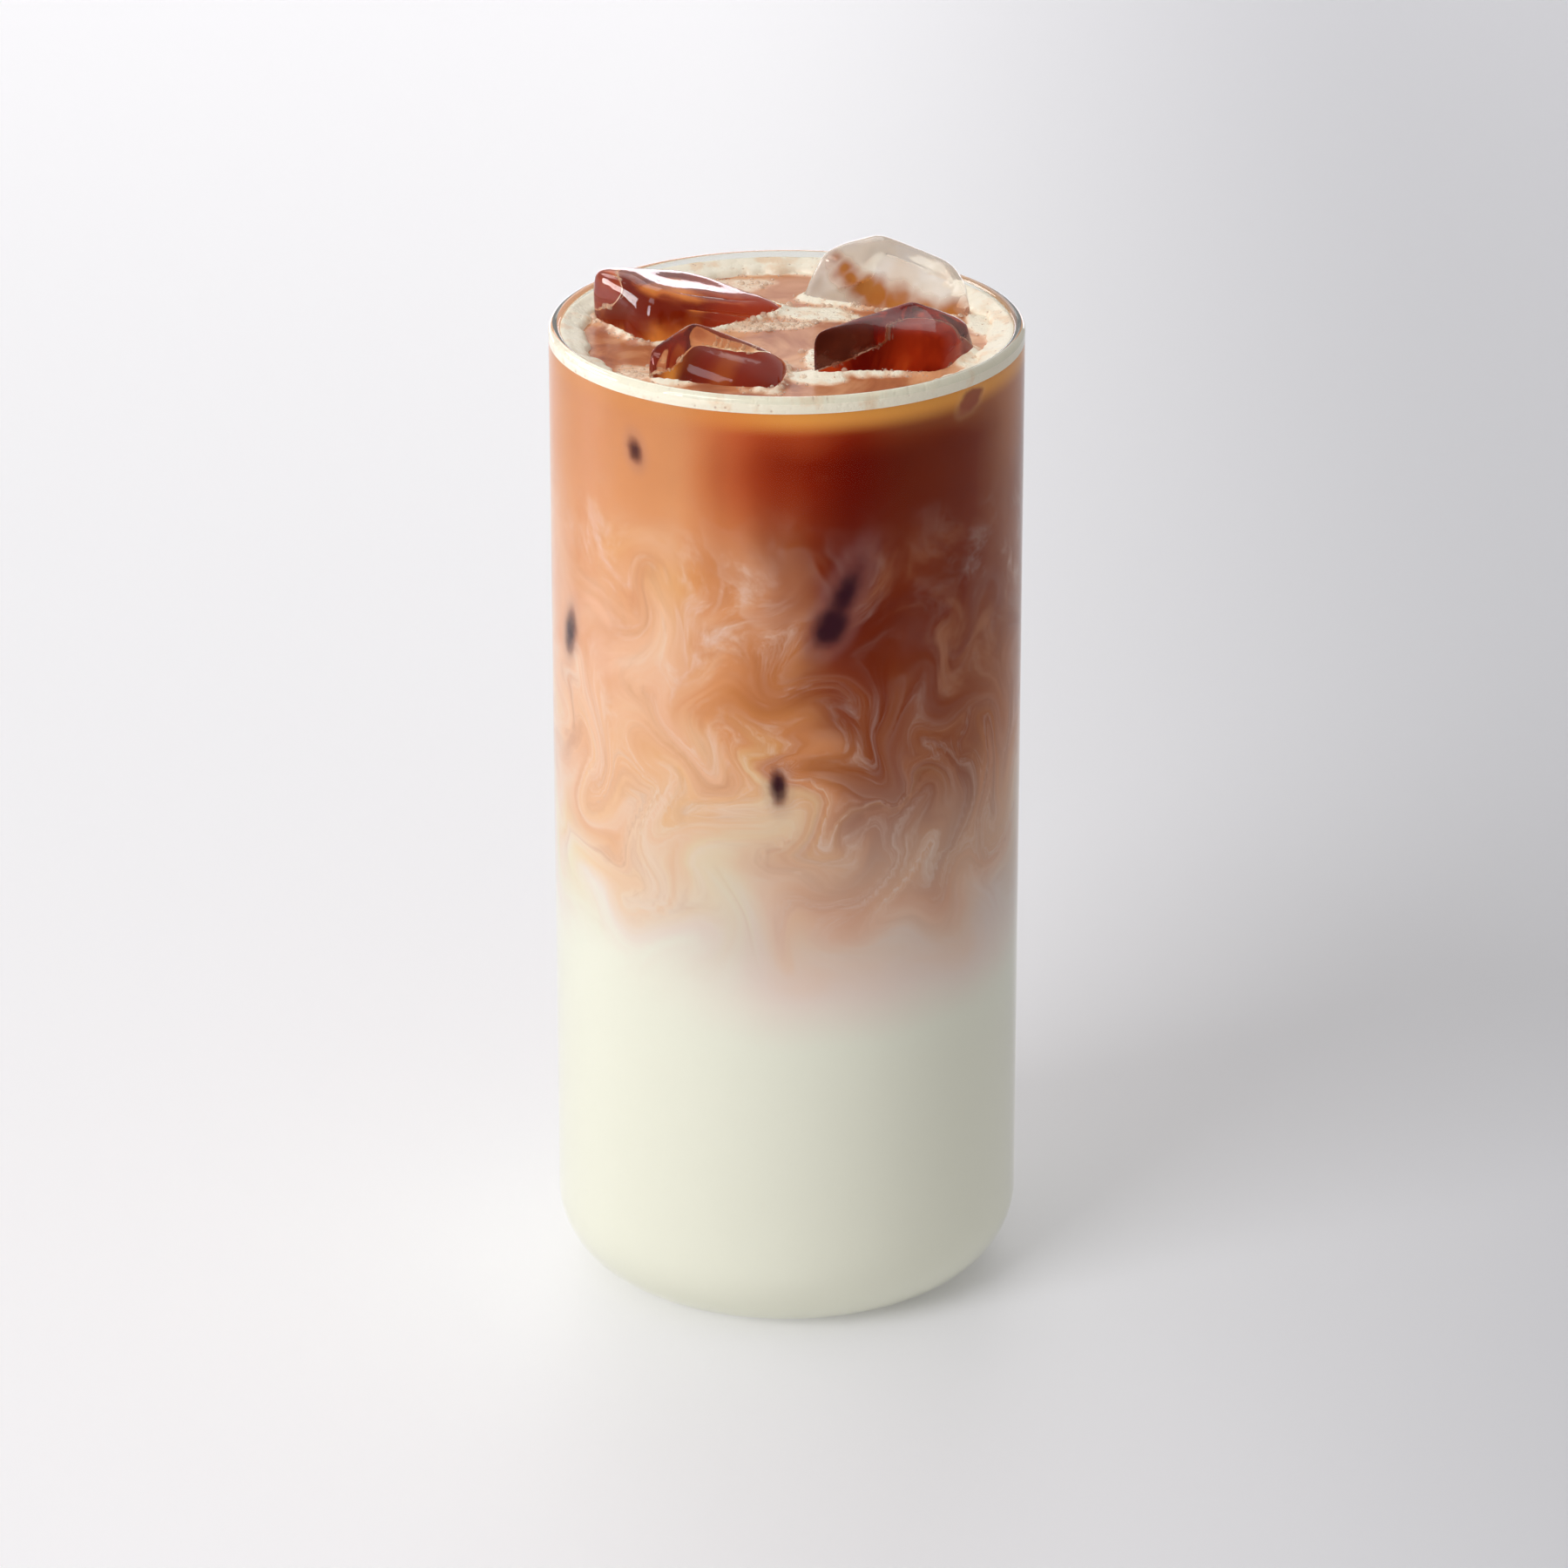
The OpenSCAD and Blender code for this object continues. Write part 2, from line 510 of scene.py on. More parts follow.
def draw_ring():
    """The even ring, extruded step by step."""
    froth = new_cylinder("froth_ring", ROUND_STEPS, FROTH_R, 0, 0.5 * MM, LEVEL + 0.05 * MM,
                         end_fill_type="NOTHING")
    mesh = begin_edit(froth, "EDGE")
    pick(froth, mesh, mesh.edges, ring_edge(LEVEL + 0.3 * MM, FROTH_R, 0.05 * MM))
    radius = FROTH_R
    for inward, upward in RING_STEPS:
        share = (radius - inward * MM) / radius
        radius -= inward * MM
        bpy.ops.mesh.extrude_edges_move(TRANSFORM_OT_translate={"value": (0, 0, upward * MM)})
        bpy.ops.transform.resize(value=(share, share, 1), center_override=(0, 0, 0))
    end_edit()
    return froth


def model_froth():
    froth = draw_ring()
    place = points_of(froth.data)
    turn = turn_of(place)
    round_wall = np.stack([np.sin(turn), -np.cos(turn), 0 * turn], 1)
    slow = cloudy(round_wall, 0.22, 5) + 0.5 * cloudy(round_wall, 0.07, 6)
    fine = cloudy(place, 0.9 * MM, 7)
    inward = FROTH_R - np.hypot(place[:, 0], place[:, 1])
    wide = 1 + 0.45 * slow
    keep = FROTH_R - inward * wide - 0.12 * MM * fine * smooth(inward, 0.3 * MM, 1.2 * MM)
    place[:, 0], place[:, 1] = keep * np.sin(turn), -keep * np.cos(turn)
    above = place[:, 2] - LEVEL
    rough = 0.10 * MM * fine * smooth(inward, 0.1 * MM, 1 * MM)
    lift = np.where(above > 0, above * (0.18 * slow) + rough, 0)
    place[:, 2] = np.minimum(place[:, 2] + lift, FROTH_TOP)
    move_points(froth.data, place)
    smooth_shaded(froth)
    print(f"froth ring: {len(froth.data.polygons)} faces, top {1e3 * place[:, 2].max():.2f} mm")
    return froth


froth = model_froth()

# %% [markdown]
# Bubbles are half spheres that sit on the surface, thick along the froth's edge and round the
# cubes. They are one mesh, so that they stay one piece.

# %% Bubbles
BUBBLES = 900
SMALLEST, LARGEST = 0.13, 0.62  # radius in mm


def half_ball():
    """The points and faces of a small half sphere."""
    bpy.ops.object.select_all(action="DESELECT")
    bpy.ops.mesh.primitive_uv_sphere_add(segments=10, ring_count=8, radius=1)
    ball = bpy.context.object
    mesh = begin_edit(ball)
    pick(ball, mesh, mesh.verts, lambda v: v.co.z < -0.05)
    bpy.ops.mesh.delete(type="VERT")
    end_edit()
    shape = points_of(ball.data)
    faces = [list(polygon.vertices) for polygon in ball.data.polygons]
    bpy.data.objects.remove(ball)
    return shape, faces


def blow_bubbles(drink):
    shape, faces = half_ball()
    rng = np.random.default_rng(31)
    place = points_of(drink.data)
    foam = np.zeros(len(place), np.float32)
    drink.data.attributes["foam"].data.foreach_get("value", foam)
    inside = np.hypot(place[:, 0], place[:, 1]) < BORE_R - 2.2 * MM
    top = (place[:, 2] > LEVEL - 0.05 * MM) & (foam > 0.12) & inside
    spots, foam = place[top], foam[top]
    chance = np.exp(-((foam - 0.45) / 0.25) ** 2) + 0.12
    chosen = rng.choice(len(spots), BUBBLES, p=chance / chance.sum())
    points, polygons = [], []
    for index in chosen:
        size = MM * min(SMALLEST * (1 - rng.random()) ** -0.45, LARGEST)
        start = len(points)
        jitter = rng.normal(0, 0.25 * MM, 2)
        centre = spots[index] + (jitter[0], jitter[1], -0.15 * size)
        points += [tuple(centre + size * p) for p in shape]
        polygons += [[start + i for i in face] for face in faces]
    data = bpy.data.meshes.new("bubbles")
    data.from_pydata(points, [], polygons)
    bubbles = bpy.data.objects.new("bubbles", data)
    bpy.context.scene.collection.objects.link(bubbles)
    smooth_shaded(bubbles)
    print(f"bubbles: {BUBBLES}, {len(data.polygons)} faces")
    return bubbles


bubbles = blow_bubbles(drink)

# %% [markdown]
# ## The swirls
# Milk and coffee were one above the other, and the pour stirred them. That is copied here: a
# flow of many eddies, large ones strong and small ones weak, is run backwards from every
# point of the drink's wall, and tells where the liquid there came from. Colours that are laid
# out plainly at that origin then come out folded and drawn into threads, as in the real drink.
# The eddies are waves that fit a whole number of times round the glass, so there's no seam.

# %% The flow
def eddies(seed, count, longest, shortest):
    """Waves of a stream function: turns round the glass, phase per metre up, size, start, drift."""
    rng = np.random.default_rng(seed)
    length = longest * (shortest / longest) ** rng.random(count)
    angle = rng.random(count) * math.pi
    turns = np.rint(BORE_R * 2 * math.pi / length * np.cos(angle))
    upward = 2 * math.pi / length * np.sin(angle)
    size = length ** 1.35 * rng.normal(1, 0.25, count)
    start = rng.random(count) * 2 * math.pi
    drift = rng.normal(0, 1, count) * 5 * (longest / length) ** 0.6
    return np.stack([turns, upward, size, start, drift], 1)


STIR_HEIGHTS = np.array([0, 44, 56, 66, 76, 88, 104, 118, 132, 150]) * MM
STIR_STRENGTH = np.array([0, 0.04, 0.3, 0.8, 1.2, 1.2, 0.8, 0.45, 0.2, 0.12])


def stirring(z):
    """How strongly the drink is stirred at a height, and how fast that changes."""
    step = 0.5 * MM
    below, value, above = (np.interp(z + off, STIR_HEIGHTS, STIR_STRENGTH)
                           for off in (-step, 0, step))
    return value, (above - below) / (2 * step)


def origin_of(turn, z, waves, travel, steps=24):
    """Runs the flow backwards from each place: its angle and height before the stirring."""
    turn, z = turn.copy(), z.copy()
    speed = waves[:, 2] ** 2 * ((waves[:, 0] / BORE_R) ** 2 + waves[:, 1] ** 2)
    scale = travel / (steps * np.sqrt(speed.sum() / 2))
    for step in range(steps):
        value, slope = stirring(z)
        along, rise, stream = np.zeros_like(z), np.zeros_like(z), np.zeros_like(z)
        for turns, upward, size, start, drift in waves:
            phase = turns * turn + upward * z + start + drift * step / steps
            wave = size * np.sin(phase)
            stream += size * np.cos(phase)
            along -= upward * wave
            rise += turns / BORE_R * wave
        turn -= scale * (value * along + slope * stream) / BORE_R
        z -= scale * value * rise
    return turn, z


print("stirred most at", 1e3 * STIR_HEIGHTS[np.argmax(STIR_STRENGTH)], "mm")


# %% [markdown]
# The share of milk is laid out plainly, as one curve over the height for each side of the
# glass: milk below, milky coffee above, and a plume of nearly black coffee a little right of
# the front. Between two sides the curves blend.

# %% The share of milk
SIDES = {  # angle round the glass from the front: (height in mm, share of milk)
    -175: [(56, 1), (66, 0.92), (76, 0.72), (90, 0.5), (110, 0.42), (130, 0.3), (144, 0.4),
           (148, 0.5)],
    -105: [(50, 1), (62, 0.97), (74, 0.86), (90, 0.68), (110, 0.66), (130, 0.58), (148, 0.5)],
    -60: [(58, 1), (68, 0.96), (74, 0.80), (82, 0.67), (92, 0.63), (108, 0.64), (122, 0.58),
          (136, 0.50), (148, 0.47)],
    -30: [(52, 1), (64, 0.95), (74, 0.84), (84, 0.74), (96, 0.68), (106, 0.68), (120, 0.60),
          (134, 0.51), (148, 0.46)],
    -16: [(50, 1), (64, 0.93), (74, 0.75), (84, 0.68), (98, 0.60), (112, 0.52), (126, 0.42),
          (138, 0.32), (148, 0.42)],
    0: [(48, 1), (64, 0.88), (74, 0.62), (84, 0.46), (100, 0.36), (118, 0.30), (130, 0.21),
        (140, 0.14), (148, 0.38)],
    17: [(48, 1), (64, 0.84), (72, 0.50), (82, 0.25), (94, 0.15), (112, 0.09), (126, 0.02),
         (140, 0.0), (148, 0.32)],
    44: [(48, 1), (64, 0.84), (72, 0.46), (82, 0.23), (94, 0.16), (112, 0.13), (126, 0.09),
         (140, 0.08), (148, 0.36)],
    75: [(52, 1), (66, 0.92), (78, 0.62), (92, 0.33), (112, 0.27), (130, 0.27), (148, 0.38)],
    130: [(54, 1), (66, 0.92), (78, 0.62), (94, 0.36), (116, 0.22), (136, 0.10), (148, 0.42)],
}


def milk_share(turn, z):
    angles = np.array(sorted(SIDES))
    curves = np.stack([np.interp(z / MM, *zip(*SIDES[angle])) for angle in angles])
    off = (np.degrees(turn) - angles[0]) % 360
    stops = np.append(angles - angles[0], 360)
    index = np.clip(np.searchsorted(stops, off, side="right") - 1, 0, len(angles) - 1)
    blend = smooth(off, stops[index], stops[index + 1])
    column = np.arange(len(z))
    after = (index + 1) % len(angles)
    return curves[index, column] * (1 - blend) + curves[after, column] * blend


print("sides:", sorted(SIDES))


# %% [markdown]
# Here and there a sunk cube's corner touches the wall. It shows as a small dark mark with a
# pale, hazy edge, since the coffee is thin between the ice and the glass.

# %% Marks of sunk ice
MARKS = [  # angle from the front; height, half width, half height in mm; lean; strength
    (-39.9, 139.2, 1.5, 2.3, 12, 0.85),
    (-34.7, 121.6, 0.7, 1.6, 5, 0.16),
    (-67.5, 106.4, 2.2, 4.2, -16, 0.95),
    (13.8, 119.0, 2.6, 7.8, -25, 0.88),
    (10.8, 114.8, 3.0, 4.6, -30, 1.0),
    (-2.1, 90.1, 1.5, 3.2, 4, 1.0),
    (-4.8, 79.1, 0.9, 3.2, -10, 0.16),
    (92, 128.0, 1.6, 3.4, 20, 0.9),
    (124, 101.0, 1.1, 2.2, -25, 0.8),
    (160, 137.5, 1.3, 2.0, 8, 0.7),
    (-165, 112.0, 2.0, 4.4, 24, 1.0),
    (-128, 132.0, 1.2, 2.4, -12, 0.6),
    (-112, 94.0, 1.0, 2.0, 30, 0.7),
]


def mark_masks(turn, z):
    """The dark middle and the pale edge of all marks."""
    core, halo = np.zeros_like(z), np.zeros_like(z)
    for angle, height, wide, tall, lean, strength in MARKS:
        off = (np.degrees(turn) - angle + 180) % 360 - 180
        across = off * math.pi / 180 * BORE_R / MM
        up = z / MM - height
        c, s = math.cos(math.radians(lean)), math.sin(math.radians(lean))
        out = np.hypot((across * c + up * s) / wide, (up * c - across * s) / tall)
        core = np.maximum(core, strength * (1 - smooth(out, 0.1, 1.5)))
        halo = np.maximum(halo, strength * (1 - smooth(out, 0.7, 1.3 + 1.4 / wide)))
    return core, halo


CORNER_ANGLE, CORNER_H = 51, 145.4  # degrees and mm: the corner that leans on the wall
MM_PER_DEGREE = 0.58


def corner_mask(turn, z):
    across, up = (np.degrees(turn) - CORNER_ANGLE) * MM_PER_DEGREE, z / MM - CORNER_H
    return 1 - smooth(np.hypot(across / 5.5, (up - 0.35 * across) / 3.6), 0.0, 1.0)


print("marks of sunk ice:", len(MARKS))

# %% [markdown]
# Four flows are run one after another. The share of milk is read after the second, the
# threads after the third, and the finest smoke after the fourth. All of it is written on the
# drink's mesh as attributes, which the finish reads.

# %% Put the flow, the milk and the marks on the drink's mesh
FLOWS = [  # seed, number of eddies, longest and shortest wave in mm, travel in mm
    (7, 24, 60, 20, 5), (11, 30, 24, 8, 4.2), (23, 26, 30, 12, 8), (41, 26, 22, 9, 5)]


def stir(drink):
    mesh = drink.data
    place = points_of(mesh)
    turn, z = turn_of(place), place[:, 2]
    places = [(turn, z)]
    for seed, count, longest, shortest, travel in FLOWS:
        waves = eddies(seed, count, longest * MM, shortest * MM)
        places.append(origin_of(*places[-1], waves, travel * MM))
    for name, (angle, height) in zip(("origin", "fold", "smoke"), places[2:]):
        write_attribute(mesh, name, "FLOAT_VECTOR",
                        np.stack([BORE_R * np.sin(angle), -BORE_R * np.cos(angle), height], 1))
    share = milk_share(*places[2])
    write_attribute(mesh, "milk", "FLOAT", share)
    on_wall = (np.hypot(place[:, 0], place[:, 1]) > BORE_R) & (z < LEVEL - 0.02 * MM)
    core, halo = mark_masks(turn, z)
    for name, mask in (("corner", corner_mask(turn, z)), ("mark", core), ("haze", halo)):
        write_attribute(mesh, name, "FLOAT", mask * on_wall)
    moved = np.hypot((places[3][0] - turn) * BORE_R, places[3][1] - z)
    print(f"stirred {len(z)} points, by {1e3 * moved.mean():.1f} mm on average; "
          f"milk {share.min():.2f} to {share.max():.2f}")


stir(drink)

# %% [markdown]
# ## Finishes
# A node tree is written here as a list of steps: each call adds a node, sets its inputs and
# returns its output, so that a finish reads from what it measures to what it colours.

# %% Node helpers
class Tree:
    def __init__(self, tree):
        self.tree = tree

    def add(self, kind, inputs=(), output=0, **settings):
        node = self.tree.nodes.new(kind)
        for key, value in settings.items():
            setattr(node, key, value)
        for key, value in dict(inputs).items():
            if isinstance(value, bpy.types.NodeSocket):
                self.tree.links.new(value, node.inputs[key])
            else:
                node.inputs[key].default_value = value
        return node.outputs[output]

    def math(self, operation, a, b=0.0, c=0.0):
        return self.add("ShaderNodeMath", {0: a, 1: b, 2: c}, operation=operation)

    def fade(self, value, low, high, to_low=0.0, to_high=1.0, kind="SMOOTHSTEP"):
        return self.add("ShaderNodeMapRange", {"Value": value, "From Min": low, "From Max": high,
                        "To Min": to_low, "To Max": to_high}, interpolation_type=kind)

    def times(self, *factors):
        result = factors[0]
        for factor in factors[1:]:
            result = self.math("MULTIPLY", result, factor)
        return result

    def band(self, height, low, full, high, gone, left=0.0):
        """1 from full to high, and fading to 0 at low and to left at gone, all in mm."""
        return self.times(self.fade(height, low * MM, full * MM),
                          self.fade(height, high * MM, gone * MM, 1, left))

    def mix(self, share, a, b, blend="MIX"):
        node = self.tree.nodes.new("ShaderNodeMix")
        node.data_type = "RGBA"
        node.blend_type = blend
        for socket, value in ((node.inputs[0], share), (node.inputs[6], a), (node.inputs[7], b)):
            if isinstance(value, bpy.types.NodeSocket):
                self.tree.links.new(value, socket)
            else:
                socket.default_value = value if socket.type == "VALUE" else (*value, 1)
        return node.outputs[2]

    def noise(self, place, scale, detail=3.0, roughness=0.5, distortion=0.0):
        return self.add("ShaderNodeTexNoise", {"Vector": place, "Scale": scale, "Detail": detail,
                        "Roughness": roughness, "Distortion": distortion}, output="Fac")

    def place(self):
        return self.add("ShaderNodeTexCoord", output="Object")

    def axis(self, place, name):
        return self.add("ShaderNodeSeparateXYZ", {0: place}, output=name)

    def vector_math(self, operation, a, b, output=0):
        return self.add("ShaderNodeVectorMath", {0: a, 1: b}, output, operation=operation)

    def shifted(self, place, amount):
        return self.vector_math("ADD", place, (amount, 0.7 * amount, -amount))

    def spot(self, place, wobble, x, y, up, radius, core):
        """1 inside that share of a ball and 0 outside it; mm, and up from the level."""
        away = self.vector_math("DISTANCE", place, (x * MM, y * MM, LEVEL + up * MM), "Value")
        away = self.math("ADD", away, wobble)
        return self.fade(away, core * radius * MM, radius * MM, 1, 0)

    def number(self, name):
        return self.add("ShaderNodeAttribute", output="Fac", attribute_name=name)

    def vector(self, name):
        return self.add("ShaderNodeAttribute", output="Vector", attribute_name=name)

    def ramp(self, value, stops):
        node = self.tree.nodes.new("ShaderNodeValToRGB")
        elements = node.color_ramp.elements
        while len(elements) < len(stops):
            elements.new(0.5)
        for element, (position, colour) in zip(elements, stops):
            element.position = position
            element.color = (*colour, 1)
        self.tree.links.new(value, node.inputs[0])
        return node.outputs[0]

    def finish(self, shader):
        output = self.tree.nodes.new("ShaderNodeOutputMaterial")
        self.tree.links.new(shader, output.inputs["Surface"])
        print(f"finish with {len(self.tree.nodes)} nodes")

    def principled(self, inputs):
        return self.add("ShaderNodeBsdfPrincipled", inputs)


def new_material(name):
    material = bpy.data.materials.get(name) or bpy.data.materials.new(name)
    material.use_nodes = True
    material.node_tree.nodes.clear()
    return material, Tree(material.node_tree)


# %% [markdown]
# ### Veils of milk
# Veils are where a slow noise, read at the folded place, passes even steps: each has one
# sharp edge and fades away behind it, as a thin sheet of milk does when it is seen on edge.
# Several veils are laid over each other, so they are one node group with its own inputs.

# %% Veil group
def veil_group():
    group = bpy.data.node_groups.new("milk_veils", "ShaderNodeTree")
    for label, kind, value in (("Place", "NodeSocketVector", (0, 0, 0)),
                               ("Scale", "NodeSocketFloat", 60.0),
                               ("Folds", "NodeSocketFloat", 5.0),
                               ("Shift", "NodeSocketFloat", 0.0)):
        socket = group.interface.new_socket(label, in_out="INPUT", socket_type=kind)
        socket.default_value = value
    group.interface.new_socket("Veil", in_out="OUTPUT", socket_type="NodeSocketFloat")
    given = group.nodes.new("NodeGroupInput").outputs
    result = group.nodes.new("NodeGroupOutput").inputs
    tree = Tree(group)
    moved = tree.vector_math("ADD", given["Place"], given["Shift"])
    slow = tree.noise(moved, given["Scale"], 1.6, 0.5)
    steps = tree.math("FRACT", tree.math("MULTIPLY", slow, given["Folds"]))
    veil = tree.times(tree.fade(steps, 0, 0.16), tree.fade(steps, 0.14, 0.95, 1, 0, "LINEAR"))
    wider = tree.math("MULTIPLY", given["Scale"], 0.55)
    patch = tree.noise(tree.shifted(moved, 0.31), wider, 1, 0.5)
    veil = tree.times(tree.math("POWER", veil, 1.8), tree.fade(patch, 0.46, 0.72))
    tree.tree.links.new(veil, result[0])
    print("group:", group.name, "with", len(group.nodes), "nodes")
    return group


VEILS = veil_group()


def veils(tree, place, scale, folds, shift):
    node = tree.tree.nodes.new("ShaderNodeGroup")
    node.node_tree = VEILS
    tree.tree.links.new(place, node.inputs["Place"])
    for name, value in (("Scale", scale), ("Folds", folds), ("Shift", shift)):
        node.inputs[name].default_value = value
    return node.outputs[0]


# %% [markdown]
# ### Latte
# Coffee with more and more milk goes from near black-red through amber and tan to peach and
# cream, and that is one colour ramp over the share of milk. Threads of milk and of coffee lie
# over it, and at last come broad tints: where light glows through, and where milk is a mist.

# %% Latte colours
MILK_STOPS = [
    (0.00, (0.140, 0.011, 0.004)),
    (0.12, (0.225, 0.032, 0.009)),
    (0.25, (0.370, 0.105, 0.036)),
    (0.40, (0.610, 0.220, 0.080)),
    (0.53, (0.760, 0.320, 0.135)),
    (0.68, (0.890, 0.520, 0.315)),
    (0.82, (0.910, 0.680, 0.500)),
    (0.92, (0.890, 0.780, 0.675)),
    (1.00, (0.892, 0.888, 0.750)),
]
THREADS = {"caramel": (0.78, 0.37, 0.10), "fold": (0.60, 0.24, 0.11), "wisp": (0.93, 0.80, 0.72),
           "smoke": (0.58, 0.25, 0.13), "strand": (0.93, 0.80, 0.71)}
TINTS = {"cream": (0.86, 0.68, 0.42), "ember": (1.12, 0.50, 0.35), "amber": (0.93, 0.40, 0.085),
         "mist": (0.64, 0.54, 0.46), "blush": (0.97, 0.87, 0.89)}
MARK_TINTS = {"haze": (0.36, 0.20, 0.19), "rim": (0.20, 0.050, 0.040),
              "core": (0.035, 0.007, 0.014), "corner_rim": (0.74, 0.44, 0.22),
              "corner": (0.34, 0.085, 0.05)}
print("latte:", len(MILK_STOPS), "stops;", [*THREADS, *TINTS, *MARK_TINTS])


# %% Milk and coffee
def milky_coffee(tree, origin, fold, share, height, zone):
    """The ramp over the share of milk, a little cloudy, and warmer or cooler in places."""
    cloud = tree.math("SUBTRACT", tree.noise(fold, 90, 4, 0.55), 0.5)
    broad = tree.math("SUBTRACT", tree.noise(origin, 34, 2, 0.5), 0.5)
    shift = tree.math("MULTIPLY_ADD", cloud, 0.36, tree.times(broad, 0.26))
    stirred = tree.times(shift, tree.band(height, 50, 74, 114, 134, 0.25))
    shade = tree.math("MULTIPLY_ADD", stirred, tree.fade(share, 0.0, 0.5, 0.4, 1.0), share)
    colour = tree.ramp(shade, MILK_STOPS)
    warm = tree.noise(tree.shifted(fold, 0.5), 55, 2, 0.5)
    colour = tree.mix(tree.times(tree.fade(warm, 0.50, 0.72), zone, 0.75), colour,
                      (1.0, 0.98, 0.72), "MULTIPLY")
    return tree.mix(tree.times(tree.fade(warm, 0.50, 0.30), zone, 0.6), colour,
                    (0.98, 0.93, 1.0), "MULTIPLY")


# %% Threads over them
def threaded(tree, colour, origin, fold, share, height, zone):
    """Veils and wisps of milk, and darker folds and smoke of coffee."""
    caramel = tree.times(veils(tree, fold, 42, 3, 0.9), tree.band(height, 60, 74, 92, 108))
    colour = tree.mix(tree.times(caramel, 0.5), colour, THREADS["caramel"])
    folds = tree.times(veils(tree, fold, 60, 3, 2.3), tree.band(height, 74, 86, 112, 128))
    colour = tree.mix(tree.times(folds, 0.2), colour, THREADS["fold"])
    milky = tree.band(height, 58, 72, 116, 136)
    pale = tree.fade(share, 0.0, 0.55, 0.45, 1.0)
    sheets = tree.math("MAXIMUM", veils(tree, fold, 36, 4, 0.0),
                       tree.times(veils(tree, fold, 80, 4, 4.1), 0.8))
    line = tree.math("SUBTRACT", tree.noise(tree.shifted(fold, 1.7), 60, 2.5, 0.5), 0.5)
    thread = tree.times(tree.fade(tree.math("ABSOLUTE", line), 0, 0.036, 1, 0),
                        tree.fade(tree.noise(tree.shifted(fold, 2.9), 38, 2, 0.5), 0.50, 0.68))
    wisps = tree.math("MAXIMUM", tree.times(sheets, 0.75), tree.times(thread, 0.5))
    colour = tree.mix(tree.times(wisps, milky, pale, 0.30), colour, THREADS["wisp"])
    smoke = tree.vector("smoke")
    dark = tree.fade(tree.noise(tree.shifted(smoke, 1.1), 80, 5, 0.62), 0.48, 0.74)
    colour = tree.mix(tree.times(dark, zone, 0.50), colour, THREADS["smoke"])
    strands = tree.times(
        tree.fade(tree.noise(smoke, 130, 5, 0.66), 0.47, 0.78),
        tree.fade(tree.noise(tree.shifted(origin, 0.8), 42, 2, 0.5), 0.36, 0.62))
    return tree.mix(tree.times(strands, milky, pale, 0.62), colour, THREADS["strand"])


# %% Broad tints
def tinted(tree, colour, origin, fold, height, across):
    """Broad tints: a cream plume, the glow under the froth, and the mist above the milk."""
    beside = tree.math("ABSOLUTE", tree.math("ADD", tree.axis(origin, "X"), 6.5 * MM))
    cream = tree.times(tree.fade(beside, 6.5 * MM, 1 * MM), tree.band(height, 68, 76, 90, 102),
                       tree.fade(tree.noise(tree.shifted(fold, 4.2), 70, 3, 0.5), 0.38, 0.60))
    colour = tree.mix(tree.times(cream, 0.52), colour, TINTS["cream"])
    ember = tree.times(tree.band(across, -17, -2, 8, 18), tree.fade(height, 124 * MM, 138 * MM))
    colour = tree.mix(ember, colour, TINTS["ember"], "MULTIPLY")
    amber = tree.times(tree.fade(height, 143.5 * MM, 146.5 * MM),
                       tree.fade(across, -18 * MM, 4 * MM, 0.15, 0.85))
    colour = tree.mix(amber, colour, TINTS["amber"])
    mist = tree.times(tree.band(height, 54, 66, 74, 94),
                      tree.fade(across, -26 * MM, -4 * MM, 0.25, 1))
    colour = tree.mix(tree.times(mist, 0.46), colour, TINTS["mist"])
    blush = tree.times(tree.band(height, 47, 60, 66, 76), tree.fade(across, -28 * MM, 6 * MM))
    return tree.mix(tree.times(blush, 0.7), colour, TINTS["blush"], "MULTIPLY")


# %% Sunk ice at the wall
def marked(tree, colour, place):
    """The marks of sunk ice, and the cube's corner that leans on the wall under the froth."""
    mark, haze, corner = tree.number("mark"), tree.number("haze"), tree.number("corner")
    rough = tree.math("SUBTRACT", tree.noise(place, 380, 3, 0.6), 0.5)
    edge = tree.math("MULTIPLY_ADD", rough, tree.times(haze, 0.55), mark)
    inner = tree.math("MULTIPLY_ADD", rough, 0.5, corner)
    for share, tint in ((tree.times(tree.fade(haze, 0.0, 0.7), 0.20), "haze"),
                        (tree.fade(edge, 0.05, 0.55, 0, 0.55), "rim"),
                        (tree.fade(edge, 0.30, 0.95, 0, 0.97), "core"),
                        (tree.fade(inner, 0.05, 0.60, 0, 0.25), "corner_rim"),
                        (tree.fade(inner, 0.32, 0.72, 0, 0.90), "corner")):
        colour = tree.mix(share, colour, MARK_TINTS[tint])
    return colour


# %% The drink's wall
def wall_colour(tree):
    place, origin, fold = tree.place(), tree.vector("origin"), tree.vector("fold")
    share, height, across = tree.number("milk"), tree.axis(place, "Z"), tree.axis(place, "X")
    zone = tree.band(height, 58, 74, 118, 132)
    colour = milky_coffee(tree, origin, fold, share, height, zone)
    colour = threaded(tree, colour, origin, fold, share, height, zone)
    colour = tinted(tree, colour, origin, fold, height, across)
    return marked(tree, colour, place)


tree = new_material("latte_wall")[1]
tree.finish(tree.principled({"Base Color": wall_colour(tree), "Roughness": 0.6,
                             "Specular IOR Level": 0.0}))

# %% [markdown]
# ### Froth and the drink's top
# Froth is cream with bubbles of two sizes, and one function gives its colour and height to
# the ring and to the top alike. The top is coffee, stained by a bent noise, then a film where
# the froth is thin, and froth where it is thick. Bare coffee is glossier than froth.

